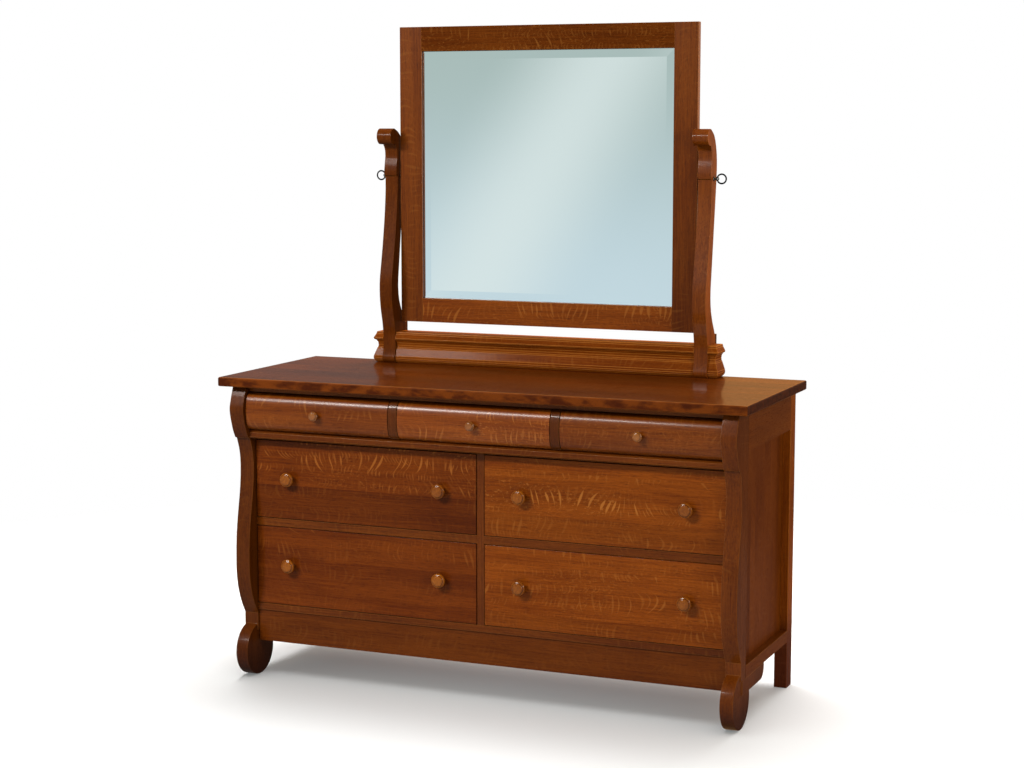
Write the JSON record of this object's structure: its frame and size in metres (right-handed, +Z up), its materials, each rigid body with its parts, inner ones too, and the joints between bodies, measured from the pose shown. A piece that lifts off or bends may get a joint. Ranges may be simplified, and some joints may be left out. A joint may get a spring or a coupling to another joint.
{
  "type": "dresser with mirror",
  "caption": "Wide wooden chest of drawers with curved front posts and disc feet, round knobs, and a framed mirror that tilts between two scrolled posts.",
  "frame": {"origin": "on the floor, under the centre of the object's bounding box", "axes": "+Z up, +X to the viewer's right when facing the drawers, +Y towards the back; the drawers open towards -Y"},
  "size_m": [1.6, 0.615, 1.9245],
  "materials": {
    "case_oak": "red-brown stained quartersawn oak, satin lacquer",
    "front_oak": "red-brown stained quartersawn oak with ray fleck, satin lacquer",
    "knob_oak": "turned oak, stained, satin lacquer",
    "drawer_wood": "plain pale wood, thin clear coat",
    "mirror_glass": "silvered glass with a ground bevel",
    "pewter": "dark pewter-coloured metal, satin"
  },
  "bodies": {
    "case": {"top_board": "case_oak", "front_post_left": "case_oak", "rear_post_left": "case_oak", "side_bottom_rail_left": "case_oak", "side_top_rail_left": "case_oak", "side_panel_left": "case_oak", "web_board_left": "case_oak", "small_divider_left": "case_oak", "harp_post_left": "case_oak", "rear_cleat_left": "case_oak", "front_post_right": "case_oak", "rear_post_right": "case_oak", "side_bottom_rail_right": "case_oak", "side_top_rail_right": "case_oak", "side_panel_right": "case_oak", "web_board_right": "case_oak", "small_divider_right": "case_oak", "harp_post_right": "case_oak", "rear_cleat_right": "case_oak", "back_panel": "drawer_wood", "top_rail": "case_oak", "frieze_moulding": "case_oak", "apron": "front_oak", "web_board_base": "case_oak", "web_board_frieze": "case_oak", "centre_partition": "case_oak", "mirror_plinth": "case_oak"},
    "lower_left_drawer": {"lower_left_drawer_front": "front_oak", "lower_left_drawer_box": "drawer_wood", "lower_left_drawer_knob_left": "knob_oak", "lower_left_drawer_knob_right": "knob_oak"},
    "lower_right_drawer": {"lower_right_drawer_front": "front_oak", "lower_right_drawer_box": "drawer_wood", "lower_right_drawer_knob_left": "knob_oak", "lower_right_drawer_knob_right": "knob_oak"},
    "upper_left_drawer": {"upper_left_drawer_front": "front_oak", "upper_left_drawer_box": "drawer_wood", "upper_left_drawer_knob_left": "knob_oak", "upper_left_drawer_knob_right": "knob_oak"},
    "upper_right_drawer": {"upper_right_drawer_front": "front_oak", "upper_right_drawer_box": "drawer_wood", "upper_right_drawer_knob_left": "knob_oak", "upper_right_drawer_knob_right": "knob_oak"},
    "small_left_drawer": {"small_left_drawer_front": "front_oak", "small_left_drawer_box": "drawer_wood", "small_left_drawer_knob": "knob_oak"},
    "small_middle_drawer": {"small_middle_drawer_front": "front_oak", "small_middle_drawer_box": "drawer_wood", "small_middle_drawer_knob": "knob_oak"},
    "small_right_drawer": {"small_right_drawer_front": "front_oak", "small_right_drawer_box": "drawer_wood", "small_right_drawer_knob": "knob_oak"},
    "mirror": {"mirror_stile_left": "case_oak", "mirror_stile_right": "case_oak", "mirror_top_rail": "case_oak", "mirror_bottom_rail": "case_oak", "mirror_glass": "mirror_glass", "mirror_backboard": "drawer_wood"},
    "thumb_screw_left": {"thumb_screw_left": "pewter"},
    "thumb_screw_right": {"thumb_screw_right": "pewter"}
  },
  "joints": [
    {"name": "lower_left_drawer_slide", "type": "slide", "parent": "case", "child": "lower_left_drawer", "axis": [0, -1, 0], "range_m": [0, 0.36]},
    {"name": "lower_right_drawer_slide", "type": "slide", "parent": "case", "child": "lower_right_drawer", "axis": [0, -1, 0], "range_m": [0, 0.36]},
    {"name": "upper_left_drawer_slide", "type": "slide", "parent": "case", "child": "upper_left_drawer", "axis": [0, -1, 0], "range_m": [0, 0.36]},
    {"name": "upper_right_drawer_slide", "type": "slide", "parent": "case", "child": "upper_right_drawer", "axis": [0, -1, 0], "range_m": [0, 0.36]},
    {"name": "small_left_drawer_slide", "type": "slide", "parent": "case", "child": "small_left_drawer", "axis": [0, -1, 0], "range_m": [0, 0.36]},
    {"name": "small_middle_drawer_slide", "type": "slide", "parent": "case", "child": "small_middle_drawer", "axis": [0, -1, 0], "range_m": [0, 0.36]},
    {"name": "small_right_drawer_slide", "type": "slide", "parent": "case", "child": "small_right_drawer", "axis": [0, -1, 0], "range_m": [0, 0.36]},
    {"name": "mirror_tilt", "type": "hinge", "parent": "case", "child": "mirror", "pos_m": [0, 0.261, 1.4765], "axis": [1, 0, 0], "range_deg": [-25, 25]},
    {"name": "thumb_screw_left_turn", "type": "hinge", "parent": "case", "child": "thumb_screw_left", "pos_m": [0, 0.261, 1.4765], "axis": [1, 0, 0], "continuous": true},
    {"name": "thumb_screw_right_turn", "type": "hinge", "parent": "case", "child": "thumb_screw_right", "pos_m": [0, 0.261, 1.4765], "axis": [1, 0, 0], "continuous": true}
  ]
}
